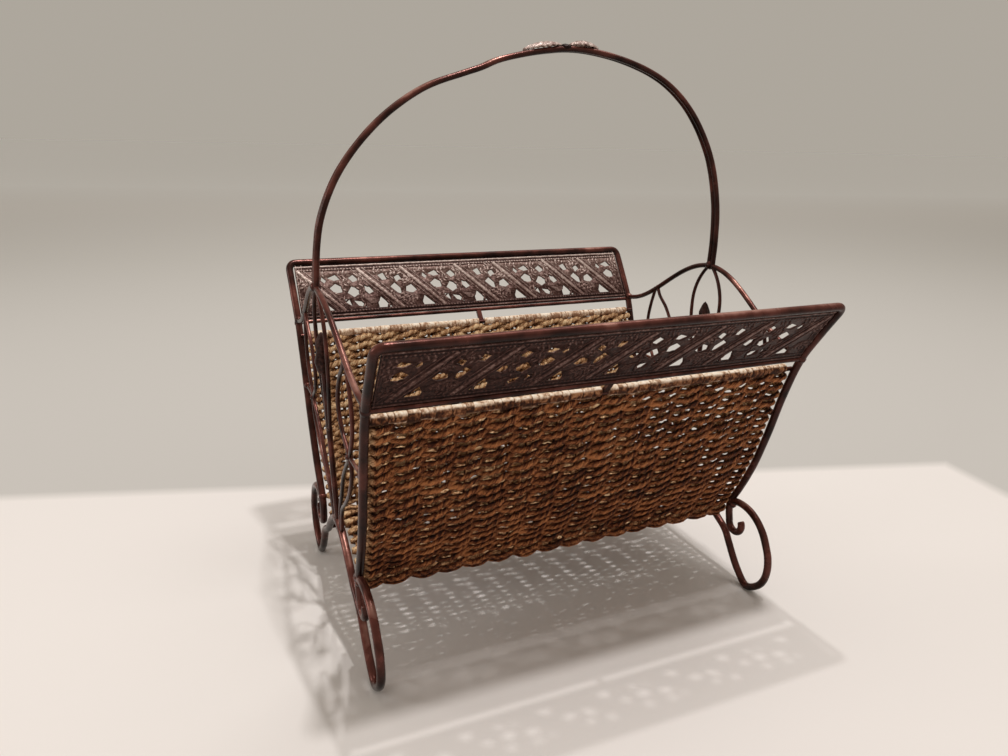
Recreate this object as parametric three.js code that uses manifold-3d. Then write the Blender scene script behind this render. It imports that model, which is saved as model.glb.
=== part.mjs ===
// Magazine basket: two bent rod hoops with pierced bands, two scrolled end frames, a woven
// sling body and a carrying handle. Millimetres, X along the basket, Y from front to rear, Z up.
// The origin is on the floor, under the middle of the basket.

import * as THREE from "three";
import { mergeVertices } from "three/addons/utils/BufferGeometryUtils.js";
import Module from "manifold-3d";

const wasm = await Module();
wasm.setup();

// Overall sizes of the frame
const floor_half_length = 186.5;
const end_lean_share = 0.025;
const foot_height = 76;
const body_height = 220;
const rail_half_depth = 175.5;
const junction_half_depth = 76.5;
const corner_radius = 8;

// Rods, wires and the gap between neighbouring pieces
const main_rod = 7;
const rail_rod = 5;
const wire = 3.5;
const weld_gap = 0.3;

// Side profile of the long sides, from the foot junction to the top rail
const profile_shares = [
  [0.086, 0.1],
  [0.223, 0.241],
  [0.391, 0.367],
  [0.595, 0.497],
  [0.759, 0.638],
  [0.882, 0.814],
  [1, 1],
];

// Curl at the lower end of each post
const curl_radius = 9.5;
const curl_set_out = 11.5;
const curl_drop = 18;
const curl_turn = Math.PI * 1.2;
const curl_tighten_share = 0.16;

// Foot loops, from the junction over the outside and under to the inner side
const foot_reach = 61;
const foot_flat_depth = 0.9;
const butt_share = 0.32;
const butt_rise_share = 0.25;
const loop_shares = [
  [0.16, 1.06],
  [0.34, 1.065],
  [0.5, 1.035],
  [0.66, 0.965],
  [0.8, 0.855],
  [0.9, 0.72],
  [0.975, 0.58],
  [1, 0.42],
  [0.96, 0.25],
  [0.85, 0.115],
];
const loop_bottom_share = 0.6;
const inner_shares = [
  [0.37, 0.135],
  [0.22, 0.28],
  [0.09, 0.43],
  [-0.045, 0.575],
];

// Low arch that joins the front and rear foot loops of one end
const arch_base = 40;
const arch_rise = 51;
const arch_half_width = 88;
const arch_shares = [0.62, 0.48, 0.33, 0.16];

// Ogee rail across the top of each end
const ogee_height_share = 0.768;
const ogee_rise = 57;
const handle_spread = 3.5;

// Handle: two rods side by side, drawn by hand in one plane
const handle_rise = 193;
const handle_shares = [
  [-0.988, 0.17],
  [-0.965, 0.295],
  [-0.885, 0.477],
  [-0.722, 0.674],
  [-0.53, 0.812],
  [-0.359, 0.877],
  [-0.278, 0.905],
  [-0.202, 0.938],
  [0.03, 0.99],
  [0.2, 1],
  [0.45, 0.958],
  [0.641, 0.881],
  [0.793, 0.756],
  [0.924, 0.554],
  [0.99, 0.325],
  [1.004, 0.135],
];

// Cast leaves and bead on top of the handle
const leaf_length = 33;
const leaf_width = 15;
const leaf_thickness = 2.6;
const leaf_lift = 2.4;
const leaf_lobes = 4;
const leaf_notch_share = 0.16;
const leaf_tip_share = 0.8;
const leaf_fullness_share = 0.7;
const bead_diameter = 7;
const leaf_centre_share = 0.11;

// Scroll wires of the end frames, as shares of the ogee half width and of the arch to peak height
const heart_half_width = 21.5;
const heart_drop = 121;
const heart_shares = [
  [0.1, 0],
  [0.42, 0.055],
  [0.77, 0.15],
  [0.975, 0.26],
  [1, 0.4],
  [0.84, 0.61],
  [0.51, 0.82],
];
const outer_wire_shares = [
  [0.632, 0.785],
  [0.662, 0.715],
  [0.678, 0.64],
  [0.655, 0.555],
  [0.6, 0.485],
];
const outer_lower_shares = [
  [0.575, 0.385],
  [0.49, 0.285],
  [0.34, 0.19],
  [0.2, 0.115],
];
const inner_wire_shares = [
  [0.555, 0.79],
  [0.46, 0.735],
  [0.385, 0.665],
  [0.355, 0.59],
  [0.41, 0.51],
];
const inner_lower_shares = [
  [0.44, 0.375],
  [0.33, 0.3],
  [0.235, 0.2],
  [0.14, 0.105],
];
const apex_share = 0.602;
const waist_share = 0.545;
const waist_height_share = 0.44;
const wire_foot_share = 0.1;

// Stem and bud in the middle of each end
const stem_rod = 5;
const stem_top_share = 0.655;
const bud_height = 36;
const bud_radius = 6.5;
const bud_shares = [
  [0, 0],
  [0.55, 0],
  [0.8, 0.13],
  [1, 0.27],
  [0.9, 0.4],
  [0.72, 0.54],
  [0.86, 0.67],
  [0.62, 0.81],
  [0.3, 0.94],
  [0, 1],
];

// Pierced bands under the top rails
const band_thickness = 2.2;
const band_border = 4.4;
const band_border_width = 5;
const band_border_step = 0.6;
const band_ribs = 7;
const band_rib_width = 6;
const band_rib_lean = 38;
const band_rib_height = 3.6;
const band_hole = 9;
const hole_shares = [
  [-1, -0.7],
  [1, -0.7],
  [0.2, 1],
  [-0.4, 0.8],
];
const hole_place_shares = [
  [-0.34, -0.18, 1],
  [-0.2, 0.2, -1],
  [0.2, -0.2, 1],
  [0.34, 0.18, -1],
];
const band_rod = 4;
const band_rod_height_share = 0.755;

// Woven body, its bars and its wrapped rolls
const mat_thickness = 7;
const mat_side_gap = 1.4;
const mat_set_in = 3.5;
const mat_top_gap = 0.3;
const mat_corner_rounding = 9;
const mat_corner_shares = [0.75, 0.6];
const mat_corner_half_depth = 66.5;
const mat_corner_drop = 3;
const bar_rod = 4;
const top_bar_drop = 11.5;
const top_bar_set_in = 4.5;
const bottom_bar_share = 0.58;
const roll_diameter = 8;
const roll_slit = 7;
const tab_width = 5;
const tab_thickness = 3;

// Link bars between the scroll waists and the posts
const link_rod = 3;

// Fineness of the faceted forms
const rod_sides = 8;
const wire_sides = 6;
const roll_sides = 10;
const round_sides = 10;
const curl_steps = 8;
const post_steps = 12;
const corner_steps = 4;
const foot_span_steps = 2;
const ogee_steps = 22;
const handle_steps = 36;
const wire_steps = 15;
const side_wire_span_steps = 2;
const leaf_steps = 14;
const rib_steps = 2;
const mat_profile_steps = 9;
const table_steps = 240;
const cut_overrun = 2;

const rail_height = foot_height + body_height;
const arch_top = arch_base + arch_rise;

// Colours and finish, taken from the photograph
const iron = { color: 0x3b2825, roughness: 0.42, metalness: 0.65 };
const iron_light = { color: 0x4a3430, roughness: 0.4, metalness: 0.65 };
const cast = { color: 0x40312f, roughness: 0.5, metalness: 0.6 };
const grass = { color: 0x8a5c30, roughness: 0.85, metalness: 0 };
const grass_light = { color: 0xc9a06c, roughness: 0.8, metalness: 0 };

const basket = new THREE.Group();

// Solids and meshes

function toSolid(geometry) {
  const bare = geometry.clone();
  bare.deleteAttribute("normal");
  bare.deleteAttribute("uv");
  const merged = mergeVertices(bare);
  const points = new Float32Array(merged.attributes.position.array);
  const corners = new Uint32Array(merged.index.array);
  if (signedVolume(points, corners) < 0) {
    corners.reverse();
  }
  return new wasm.Manifold(new wasm.Mesh({ numProp: 3, vertProperties: points, triVerts: corners }));
}

function signedVolume(points, corners) {
  let total = 0;
  const at = (corner) => new THREE.Vector3().fromArray(points, corners[corner] * 3);
  for (let i = 0; i < corners.length; i += 3) {
    total += at(i).dot(at(i + 1).cross(at(i + 2)));
  }
  return total;
}

function addPiece(name, solid, finish) {
  const mesh = solid.getMesh();
  const geometry = new THREE.BufferGeometry();
  geometry.setAttribute("position", new THREE.BufferAttribute(mesh.vertProperties, mesh.numProp));
  geometry.setIndex(new THREE.BufferAttribute(mesh.triVerts, 1));
  geometry.computeVertexNormals();
  const piece = new THREE.Mesh(geometry, new THREE.MeshStandardMaterial(finish));
  piece.name = name;
  basket.add(piece);
}

function outlineShape(points) {
  return new THREE.Shape(points.map(([x, y]) => new THREE.Vector2(x, y)));
}

function polygon(radius, sides) {
  const points = [];
  for (let i = 0; i < sides; i++) {
    const angle = (2 * Math.PI * i) / sides;
    points.push([radius * Math.cos(angle), radius * Math.sin(angle)]);
  }
  return outlineShape(points);
}

// A round rod with one ring of corners at each station
function rod(stations, diameter, sides = rod_sides) {
  const path = new THREE.CatmullRomCurve3(stations);
  path.getUtoTmapping = (share) => share;
  const settings = { steps: stations.length - 1, extrudePath: path, bevelEnabled: false };
  return toSolid(new THREE.ExtrudeGeometry(polygon(diameter / 2, sides), settings));
}

function thickened(diameter) {
  return diameter + 2 * weld_gap;
}

function through(points, steps) {
  return new THREE.CatmullRomCurve3(points).getSpacedPoints(steps);
}

function block(width, depth, height, x, y, z) {
  const geometry = new THREE.BoxGeometry(width, depth, height);
  geometry.translate(x, y, z);
  return toSolid(geometry);
}

// Lines of the frame in the end planes

const profile = new THREE.CatmullRomCurve3([
  new THREE.Vector3(0, junction_half_depth + curl_set_out - curl_radius, foot_height - curl_drop),
  new THREE.Vector3(0, junction_half_depth, foot_height - curl_drop / 2),
  new THREE.Vector3(0, junction_half_depth, foot_height),
  ...profile_shares.map(([up, out]) => new THREE.Vector3(
    0,
    junction_half_depth + out * (rail_half_depth - junction_half_depth),
    foot_height + up * body_height,
  )),
]);
const profile_samples = profile.getSpacedPoints(table_steps);

function halfDepthAt(height) {
  const above = profile_samples.findIndex((p) => p.z >= height);
  const high = profile_samples[above];
  const low = profile_samples[above - 1];
  return THREE.MathUtils.mapLinear(height, low.z, high.z, low.y, high.y);
}

const ogee_height = foot_height + ogee_height_share * body_height;
const ogee_half_width = halfDepthAt(ogee_height);
const peak_height = ogee_height + ogee_rise;

function raisedCosine(share) {
  const angle = (Math.PI / 2) * Math.min(1, Math.abs(share));
  return Math.cos(angle) ** 2;
}

function ogeeHeightAt(y) {
  return ogee_height + ogee_rise * raisedCosine(y / ogee_half_width);
}

function archHeightAt(y) {
  return arch_base + arch_rise * raisedCosine(y / arch_half_width);
}

// The end planes lean outward, and their middle is spread a little by the handle
function endHalfLength(y, z) {
  const lift = THREE.MathUtils.clamp((z - arch_top) / (peak_height - arch_top), 0, 1);
  return floor_half_length + end_lean_share * z + handle_spread * lift * raisedCosine(y / ogee_half_width);
}

function endPoint(end, y, z) {
  return new THREE.Vector3(end * endHalfLength(y, z), y, z);
}

// Hoops: curl, post, rounded corner and top rail of one long side, bent from one rod
function curlLine() {
  const points = [];
  for (let i = curl_steps; i > 0; i--) {
    const turn = (i / curl_steps) * curl_turn;
    const radius = curl_radius * (1 - curl_tighten_share * (i / curl_steps));
    points.push([
      junction_half_depth + curl_set_out - radius * Math.cos(turn),
      foot_height - curl_drop - radius * Math.sin(turn),
    ]);
  }
  return points;
}

function hoopHalf(end, side) {
  const curl = curlLine().map(([y, z]) => endPoint(end, side * y, z));
  const post_length_share = 1 - corner_radius / profile.getLength();
  const post = [];
  for (let i = 0; i <= post_steps; i++) {
    const p = profile.getPointAt((i / post_steps) * post_length_share);
    post.push(endPoint(end, side * p.y, p.z));
  }
  const corner = endPoint(end, side * rail_half_depth, rail_height);
  const rail_start = corner.clone().setX(corner.x - end * corner_radius);
  const bend = new THREE.QuadraticBezierCurve3(post[post.length - 1], corner, rail_start);
  return [...curl, ...post, ...bend.getPoints(corner_steps).slice(1)];
}

function hoop(side, diameter) {
  const left = hoopHalf(-1, side);
  const right = hoopHalf(1, side).reverse();
  return rod([...left, ...right], diameter);
}

// Foot scrolls: front loop, low arch and rear loop of one end, bent from one rod
function footHalf(end, side) {
  const bottom = main_rod / 2 - foot_flat_depth;
  const at = ([out, up]) => endPoint(
    end,
    side * (junction_half_depth + out * foot_reach),
    bottom + up * (foot_height - bottom),
  );
  const butt = junction_half_depth + butt_share * main_rod;
  const start = endPoint(end, side * butt, foot_height + butt_rise_share * main_rod);
  const arch = arch_shares.map((share) => {
    const y = share * arch_half_width;
    return endPoint(end, side * y, archHeightAt(y));
  });
  return [start, ...loop_shares.map(at), at([loop_bottom_share, 0]), ...inner_shares.map(at), ...arch];
}

function footScroll(end, diameter) {
  const front = footHalf(end, -1);
  const rear = footHalf(end, 1).reverse();
  const places = [...front, endPoint(end, 0, arch_top), ...rear];
  const line = new THREE.CatmullRomCurve3(places);
  return rod(line.getPoints(foot_span_steps * (places.length - 1)), diameter);
}

// Ogee rail of one end, from post to post
function ogee(end, diameter) {
  const points = [];
  for (let i = 0; i <= ogee_steps; i++) {
    const y = THREE.MathUtils.lerp(-ogee_half_width, ogee_half_width, i / ogee_steps);
    points.push(endPoint(end, y, ogeeHeightAt(y)));
  }
  return rod(points, diameter);
}

// Handle rods
const handle_half_span = endHalfLength(0, peak_height);
const handle_rod_offset = rail_rod / 2 + weld_gap / 2;

const handle_line = new THREE.CatmullRomCurve3([
  new THREE.Vector3(-handle_half_span, 0, peak_height),
  ...handle_shares.map(([along, up]) => new THREE.Vector3(
    along * handle_half_span,
    0,
    peak_height + up * handle_rise,
  )),
  new THREE.Vector3(handle_half_span, 0, peak_height),
]);

function handleRod(side) {
  const shift = new THREE.Vector3(0, side * handle_rod_offset, 0);
  return rod(handle_line.getSpacedPoints(handle_steps).map((p) => p.add(shift)), rail_rod);
}

const handle_samples = handle_line.getSpacedPoints(table_steps);
const handle_top = handle_samples.filter((p) => p.z > peak_height + handle_rise / 2);

function handleHeightAt(x) {
  const next = handle_top.findIndex((p) => p.x >= x);
  const low = handle_top[next - 1];
  const high = handle_top[next];
  return THREE.MathUtils.mapLinear(x, low.x, high.x, low.z, high.z);
}

const leaf_centre = leaf_centre_share * handle_half_span;
const leaf_seat = rail_rod / 2 + weld_gap;

// One cast leaf that rests on the handle rods and tapers away from the bead
function handleLeaf(end) {
  const outline = [];
  for (let i = 0; i <= leaf_steps; i++) {
    const share = i / leaf_steps;
    const swell = Math.sin(Math.PI * share ** leaf_tip_share) ** leaf_fullness_share;
    const notch = 1 - leaf_notch_share * Math.abs(Math.sin(Math.PI * leaf_lobes * share));
    outline.push([share * leaf_length, (leaf_width / 2) * swell * notch]);
  }
  const mirrored = outline.slice(1, -1).reverse().map(([x, y]) => [x, -y]);
  const leaf = outlineShape([...outline, ...mirrored]);
  const geometry = new THREE.ExtrudeGeometry(leaf, { depth: leaf_thickness, bevelEnabled: false });
  const position = geometry.attributes.position;
  const start = bead_diameter / 2 + weld_gap;
  for (let i = 0; i < position.count; i++) {
    const along = position.getX(i);
    const x = leaf_centre + end * (start + along);
    const lift = leaf_lift * Math.sin(Math.PI * (along / leaf_length));
    position.setXYZ(i, x, position.getY(i), handleHeightAt(x) + leaf_seat + lift + position.getZ(i));
  }
  return toSolid(geometry);
}

function handleBead() {
  const bead = new THREE.SphereGeometry(bead_diameter / 2, round_sides, round_sides / 2);
  bead.translate(leaf_centre, 0, handleHeightAt(leaf_centre) + leaf_seat + bead_diameter / 2);
  return toSolid(bead);
}

// Scroll wires
const touch = (wire + weld_gap) / 2;

function framePoint(end, side, [out, up]) {
  return endPoint(end, side * out * ogee_half_width, arch_top + up * (peak_height - arch_top));
}

function heartWire(end, side) {
  const contact = (stem_rod + wire) / 2 + weld_gap;
  const points = heart_shares.map(([out, down]) => endPoint(
    end,
    side * Math.max(touch, out * heart_half_width),
    peak_height - down * heart_drop,
  ));
  points.push(endPoint(end, side * contact, peak_height - heart_drop));
  return rod(through(points, wire_steps), wire, wire_sides);
}

function sideWire(end, side, outer, diameter) {
  const upper = outer ? outer_wire_shares : inner_wire_shares;
  const lower = outer ? outer_lower_shares : inner_lower_shares;
  const shift = outer ? touch : -touch;
  const apex = apex_share * ogee_half_width + shift;
  const waist_z = arch_top + waist_height_share * (peak_height - arch_top);
  const foot = wire_foot_share * ogee_half_width + shift;
  const points = [
    endPoint(end, side * apex, ogeeHeightAt(apex)),
    ...upper.map((place) => framePoint(end, side, place)),
    endPoint(end, side * (waist_share * ogee_half_width + shift), waist_z),
    ...lower.map((place) => framePoint(end, side, place)),
    endPoint(end, side * foot, archHeightAt(foot)),
  ];
  const line = new THREE.CatmullRomCurve3(points);
  return rod(line.getPoints(side_wire_span_steps * (points.length - 1)), diameter, wire_sides);
}

// A short bar from the waist of the side wires to the post
function link(end, side) {
  const z = arch_top + waist_height_share * (peak_height - arch_top);
  const inner = waist_share * ogee_half_width + touch;
  const outer = halfDepthAt(z);
  return rod([endPoint(end, side * inner, z), endPoint(end, side * outer, z)], link_rod, wire_sides);
}

const stem_top = arch_top + stem_top_share * (peak_height - arch_top);

function stem(end) {
  return rod([endPoint(end, 0, arch_top), endPoint(end, 0, stem_top)], stem_rod);
}

function bud(end) {
  const base = stem_top + weld_gap;
  const outline = bud_shares.map(([out, up]) => new THREE.Vector2(out * bud_radius, up * bud_height));
  const geometry = new THREE.LatheGeometry(outline, round_sides);
  geometry.rotateX(Math.PI / 2);
  const middle = endPoint(end, 0, base + bud_height / 2);
  geometry.translate(middle.x, 0, base);
  return toSolid(geometry);
}

// Long rods between the posts, at a height and set in from the line of the posts
function longRod(side, height, set_in, diameter) {
  const y = side * (halfDepthAt(height) - set_in);
  const reach = endHalfLength(y, height);
  return rod([new THREE.Vector3(-reach, y, height), new THREE.Vector3(reach, y, height)], diameter);
}

const band_rod_height = foot_height + band_rod_height_share * body_height;
const top_bar_height = band_rod_height - top_bar_drop;

// Point and outward direction on the flared side at a distance along its profile
function flareFrame(side, distance) {
  const share = THREE.MathUtils.clamp(distance / profile.getLength(), 0, 1);
  const point = profile.getPointAt(share);
  const along = profile.getTangentAt(share);
  return {
    point: new THREE.Vector3(0, side * point.y, point.z),
    outward: new THREE.Vector3(0, side * along.z, -along.y),
  };
}

function profileDistance(height) {
  const above = profile_samples.findIndex((p) => p.z >= height);
  return (above / (profile_samples.length - 1)) * profile.getLength();
}

// Section of a strip that follows the flare: half thicknesses at distances along the profile
function flareSection(side, rows) {
  const outer = [];
  const inner = [];
  rows.forEach(([distance, half]) => {
    const { point, outward } = flareFrame(side, distance);
    outer.push([point.y + outward.y * half, point.z + outward.z * half]);
    inner.push([point.y - outward.y * half, point.z - outward.z * half]);
  });
  return [...outer, ...inner.reverse()];
}

// A closed section in the YZ plane drawn out along X, centred on X = 0
function drawnOut(section, half_length) {
  const settings = { depth: 2 * half_length, bevelEnabled: false };
  const geometry = new THREE.ExtrudeGeometry(outlineShape(section), settings);
  const position = geometry.attributes.position;
  for (let i = 0; i < position.count; i++) {
    const [y, z, x] = [position.getX(i), position.getY(i), position.getZ(i)];
    position.setXYZ(i, x - half_length, y, z);
  }
  return toSolid(geometry);
}

const band_low = profileDistance(band_rod_height) + band_rod / 2 + weld_gap;
const band_high = profile.getLength() - main_rod / 2 - weld_gap;
const band_half_length = endHalfLength(rail_half_depth, band_rod_height) - main_rod / 2 - weld_gap;

// Pierced band: plate, raised borders, leaning ribs, and openings on both sides of each rib
function band(side) {
  const low_edge = band_low + band_border_width;
  const high_edge = band_high - band_border_width;
  const rows = [
    [band_low, band_border / 2],
    [low_edge, band_border / 2],
    [low_edge + band_border_step, band_thickness / 2],
    [(band_low + band_high) / 2, band_thickness / 2],
    [high_edge - band_border_step, band_thickness / 2],
    [high_edge, band_border / 2],
    [band_high, band_border / 2],
  ];
  let solid = drawnOut(flareSection(side, rows), band_half_length);
  const pitch = (2 * band_half_length) / band_ribs;
  for (let i = 0; i < band_ribs; i++) {
    const x = (i + 0.5) * pitch - band_half_length;
    solid = solid.add(bandRib(side, x));
    for (const [along, rise, turn] of hole_place_shares) {
      solid = solid.subtract(bandHole(side, x - side * along * pitch, rise, turn));
    }
  }
  return solid;
}

// A rounded rib that climbs to the right as seen from outside
function bandRib(side, x) {
  const start = band_low + band_border_width / 2;
  const finish = band_high - band_border_width / 2;
  const points = [];
  for (let i = 0; i <= rib_steps; i++) {
    const share = i / rib_steps;
    const { point } = flareFrame(side, THREE.MathUtils.lerp(start, finish, share));
    points.push(point.setX(x + side * (0.5 - share) * band_rib_lean));
  }
  const section = [];
  for (let i = 0; i < wire_sides; i++) {
    const angle = (2 * Math.PI * i) / wire_sides;
    section.push([(band_rib_width / 2) * Math.cos(angle), (band_rib_height / 2) * Math.sin(angle)]);
  }
  const path = new THREE.CatmullRomCurve3(points);
  const settings = { steps: rib_steps, extrudePath: path, bevelEnabled: false };
  return toSolid(new THREE.ExtrudeGeometry(outlineShape(section), settings));
}

// A leaf-shaped opening through the band, above or below its middle and upright or turned over
function bandHole(side, x, rise, turn) {
  const middle = (band_low + band_high) / 2 + rise * (band_high - band_low);
  const { point, outward } = flareFrame(side, middle);
  const half = (turn * band_hole) / 2;
  const hole = outlineShape(hole_shares.map(([a, b]) => [a * half, b * half]));
  const depth = band_border + 2 * cut_overrun;
  const geometry = new THREE.ExtrudeGeometry(hole, { depth, bevelEnabled: false });
  geometry.translate(0, 0, -depth / 2);
  const right = new THREE.Vector3(1, 0, 0);
  const up = new THREE.Vector3().crossVectors(outward, right);
  geometry.applyMatrix4(new THREE.Matrix4().makeBasis(right, up, outward));
  geometry.translate(x, point.y, point.z);
  return toSolid(geometry);
}

// Woven sling: down the front, over the low arch and up the rear, as one mat
const bottom_bar_half_depth = bottom_bar_share * arch_half_width;
const mat_over_arch = (bar_rod + mat_thickness) / 2 + weld_gap;

function matHalfLine() {
  const points = [];
  const top = top_bar_height - roll_diameter / 2 - mat_top_gap;
  const bottom = foot_height + mat_corner_rounding;
  for (let i = 0; i <= mat_profile_steps; i++) {
    const z = THREE.MathUtils.lerp(top, bottom, i / mat_profile_steps);
    points.push([halfDepthAt(z) - mat_set_in, z]);
  }
  const floor = archHeightAt(bottom_bar_half_depth) + mat_over_arch;
  const [round_out, round_up] = mat_corner_shares;
  points.push([
    mat_corner_half_depth + round_out * mat_corner_rounding,
    floor + round_up * mat_corner_rounding,
  ]);
  points.push([mat_corner_half_depth, floor - mat_corner_drop / 2]);
  points.push([(mat_corner_half_depth + bottom_bar_half_depth) / 2, floor - mat_corner_drop / 2]);
  points.push([bottom_bar_half_depth, floor]);
  for (const share of arch_shares.slice(1)) {
    points.push([share * arch_half_width, archHeightAt(share * arch_half_width) + mat_over_arch]);
  }
  return points;
}

function mat() {
  const half = matHalfLine();
  const ridge = [0, arch_top + mat_over_arch];
  const line = [
    ...half.map(([y, z]) => [-y, z]),
    ridge,
    ...half.slice().reverse(),
  ].map(([y, z]) => new THREE.Vector3(0, y, z));
  const outer = [];
  const inner = [];
  line.forEach((point, i) => {
    const before = line[Math.max(0, i - 1)];
    const after = line[Math.min(line.length - 1, i + 1)];
    const along = after.clone().sub(before).normalize();
    const half_thickness = mat_thickness / 2;
    outer.push([point.y + along.z * half_thickness, point.z - along.y * half_thickness]);
    inner.push([point.y - along.z * half_thickness, point.z + along.y * half_thickness]);
  });
  const half_length = floor_half_length + end_lean_share * foot_height - main_rod / 2 - mat_side_gap;
  return drawnOut([...outer, ...inner.reverse()], half_length);
}

function roll(side, end) {
  const y = side * (halfDepthAt(top_bar_height) - top_bar_set_in);
  const start = (end * roll_slit) / 2;
  const finish = end * (endHalfLength(y, top_bar_height) - main_rod / 2 - mat_side_gap);
  const from = new THREE.Vector3(start, y, top_bar_height);
  const to = new THREE.Vector3(finish, y, top_bar_height);
  const bore_from = from.clone().setX(start - end * cut_overrun);
  const bore_to = to.clone().setX(finish + end * cut_overrun);
  const bore = rod([bore_from, bore_to], thickened(bar_rod));
  return rod([from, to], roll_diameter, roll_sides).subtract(bore);
}

// A cleat that ties the band rod to the top bar at mid length
function tab(side) {
  const bar_half_depth = halfDepthAt(top_bar_height) - top_bar_set_in;
  const low = new THREE.Vector3(0, side * bar_half_depth, top_bar_height);
  const high = new THREE.Vector3(0, side * halfDepthAt(band_rod_height), band_rod_height);
  const along = high.clone().sub(low);
  const geometry = new THREE.BoxGeometry(tab_width, tab_thickness, along.length());
  geometry.applyQuaternion(new THREE.Quaternion().setFromUnitVectors(
    new THREE.Vector3(0, 0, 1),
    along.clone().normalize(),
  ));
  const middle = low.add(high).multiplyScalar(0.5);
  geometry.translate(middle.x, middle.y, middle.z);
  return toSolid(geometry);
}

function bottomBar(y) {
  const z = archHeightAt(y);
  const reach = endHalfLength(y, z);
  return rod([new THREE.Vector3(-reach, y, z), new THREE.Vector3(reach, y, z)], bar_rod);
}

// Assembly

const sides = [["front", -1], ["rear", 1]];
const ends = [["left", -1], ["right", 1]];

for (const [side_name, side] of sides) {
  const around_hoop = hoop(side, thickened(main_rod));
  const around_band_rod = longRod(side, band_rod_height, 0, thickened(band_rod));
  const around_top_bar = longRod(side, top_bar_height, top_bar_set_in, thickened(bar_rod));
  const band_rod_line = longRod(side, band_rod_height, 0, band_rod);
  const top_bar_line = longRod(side, top_bar_height, top_bar_set_in, bar_rod);
  addPiece(`${side_name}_hoop`, hoop(side, main_rod), iron);
  addPiece(`${side_name}_band`, band(side).subtract(around_hoop).subtract(around_band_rod), cast);
  addPiece(`${side_name}_band_rod`, band_rod_line.subtract(around_hoop), iron_light);
  addPiece(`${side_name}_top_bar`, top_bar_line.subtract(around_hoop), iron);
  addPiece(`${side_name}_tab`, tab(side).subtract(around_band_rod).subtract(around_top_bar), iron_light);
  for (const [end_name, end] of ends) {
    addPiece(`${side_name}_${end_name}_roll`, roll(side, end), grass_light);
  }
}

const around_front = hoop(-1, thickened(main_rod));
const around_rear = hoop(1, thickened(main_rod));
const below_floor = block(4 * floor_half_length, 4 * rail_half_depth, main_rod, 0, 0, -main_rod / 2);

for (const [end_name, end] of ends) {
  const around_foot = footScroll(end, thickened(main_rod));
  const around_ogee = ogee(end, thickened(rail_rod));
  const scroll = footScroll(end, main_rod).subtract(around_front).subtract(around_rear);
  addPiece(`${end_name}_foot_scroll`, scroll.subtract(below_floor), iron);
  addPiece(`${end_name}_ogee_rail`, ogee(end, rail_rod).subtract(around_front).subtract(around_rear), iron);
  addPiece(`${end_name}_stem`, stem(end).subtract(around_foot), iron);
  addPiece(`${end_name}_bud`, bud(end), cast);
  for (const [side_name, side] of sides) {
    const around_hoop = side < 0 ? around_front : around_rear;
    addPiece(`${end_name}_${side_name}_heart_wire`, heartWire(end, side).subtract(around_ogee), iron);
    for (const [wire_name, outer] of [["outer_wire", true], ["inner_wire", false]]) {
      const solid = sideWire(end, side, outer, wire).subtract(around_ogee).subtract(around_foot);
      addPiece(`${end_name}_${side_name}_${wire_name}`, solid, iron);
    }
    const around_wire = sideWire(end, side, true, thickened(wire));
    const bar = link(end, side).subtract(around_hoop).subtract(around_wire);
    addPiece(`${end_name}_${side_name}_link`, bar, iron_light);
  }
}

const around_feet = footScroll(-1, thickened(main_rod)).add(footScroll(1, thickened(main_rod)));
addPiece("front_bottom_bar", bottomBar(-bottom_bar_half_depth).subtract(around_feet), iron);
addPiece("rear_bottom_bar", bottomBar(bottom_bar_half_depth).subtract(around_feet), iron);
addPiece("ridge_bar", bottomBar(0).subtract(around_feet), iron);
addPiece("woven_body", mat(), grass);

const around_ogees = ogee(-1, thickened(rail_rod)).add(ogee(1, thickened(rail_rod)));
addPiece("handle_front_rod", handleRod(-1).subtract(around_ogees), iron);
addPiece("handle_rear_rod", handleRod(1).subtract(around_ogees), iron);
addPiece("handle_bead", handleBead(), cast);
for (const [end_name, end] of ends) {
  addPiece(`handle_${end_name}_leaf`, handleLeaf(end), cast);
}

export default basket;
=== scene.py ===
# Magazine basket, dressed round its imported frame: bent iron rods with their welds, pierced cast
# bands, buds and leaves, and a twined seagrass sling with wrapped upper edges.
import math
import random

import bmesh
import bpy
from mathutils import Matrix, Vector, noise


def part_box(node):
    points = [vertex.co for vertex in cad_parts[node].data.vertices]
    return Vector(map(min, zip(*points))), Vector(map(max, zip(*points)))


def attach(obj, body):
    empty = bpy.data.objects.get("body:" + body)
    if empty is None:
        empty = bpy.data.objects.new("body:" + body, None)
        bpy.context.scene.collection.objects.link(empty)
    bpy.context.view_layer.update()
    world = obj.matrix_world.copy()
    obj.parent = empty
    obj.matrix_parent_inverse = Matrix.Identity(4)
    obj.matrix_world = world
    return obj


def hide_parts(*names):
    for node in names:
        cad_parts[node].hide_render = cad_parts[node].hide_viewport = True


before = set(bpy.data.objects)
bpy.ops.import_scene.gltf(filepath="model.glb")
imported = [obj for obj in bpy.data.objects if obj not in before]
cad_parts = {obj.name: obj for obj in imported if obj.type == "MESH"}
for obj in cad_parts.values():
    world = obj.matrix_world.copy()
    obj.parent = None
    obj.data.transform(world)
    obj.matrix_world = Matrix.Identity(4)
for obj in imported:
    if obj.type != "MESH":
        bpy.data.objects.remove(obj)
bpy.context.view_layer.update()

# Sizes of the iron frame, in metres, as its solids have them
main_rod = 0.007
rail_rod = 0.005
wire = 0.0035
weld_gap = 0.0003
floor_half_length = 0.1865
end_lean = 0.025
foot_height = 0.076
junction_half_depth = 0.0765
corner_radius = 0.008
foot_reach = 0.061
foot_flat_depth = 0.0009
arch_base = 0.040
arch_rise = 0.051
arch_half_width = 0.088
ogee_rise = 0.057
handle_spread = 0.0035
curl_radius = 0.0095
curl_set_out = 0.0115
curl_drop = 0.018
heart_half_width = 0.0215
heart_drop = 0.121
stem_rod = 0.005
link_rod = 0.003
band_rod = 0.004
bar_rod = 0.004

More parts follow.
